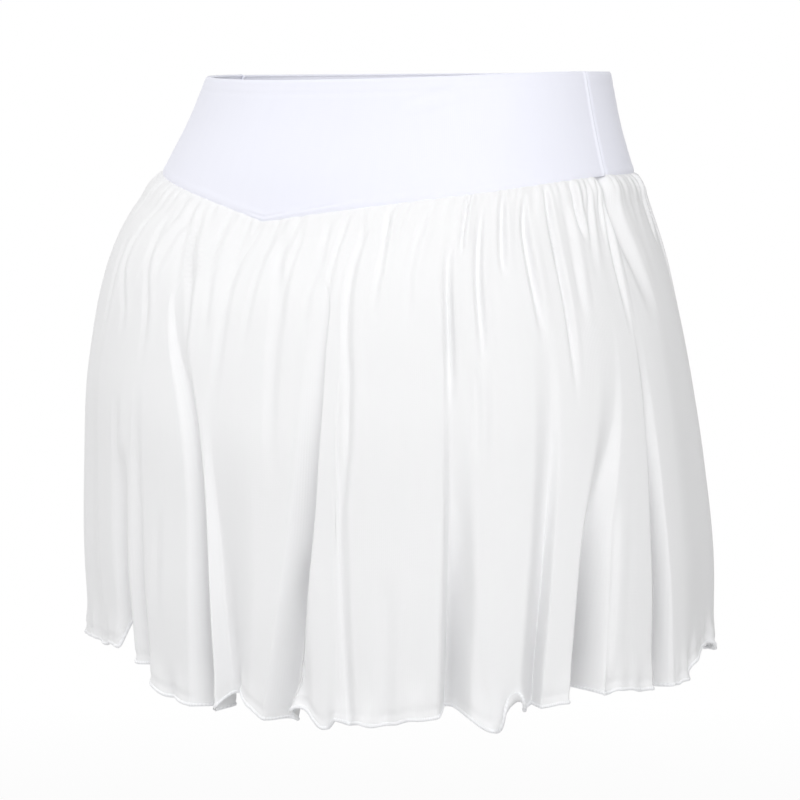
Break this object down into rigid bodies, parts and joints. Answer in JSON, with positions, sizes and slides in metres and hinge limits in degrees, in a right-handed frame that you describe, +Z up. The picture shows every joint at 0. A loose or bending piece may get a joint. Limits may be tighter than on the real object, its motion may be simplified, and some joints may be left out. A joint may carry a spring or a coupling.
{
  "type": "badminton skirt",
  "caption": "Pull-on sports skirt in its worn form: a wide smooth waistband with a V dip at the back, over a thin gathered skirt with a rolled wavy hem, hollow from waist to hem.",
  "frame": {"origin": "middle of the waist opening, level with the top edge of the waistband, where the wearer's waist holds the skirt", "axes": "+Z up out of the waist, the wearer faces -Y, +X to the wearer's left"},
  "size_m": [0.4226, 0.3415, 0.3731],
  "materials": {
    "band_knit": "smooth lavender-white stretch knit, matt with a faint sheen",
    "skirt_jersey": "thin soft off-white jersey, matt, slightly see-through"
  },
  "bodies": {
    "root": {"waistband_back": "band_knit", "waistband_front": "band_knit", "skirt_back": "skirt_jersey", "skirt_front": "skirt_jersey"}
  },
  "joints": []
}
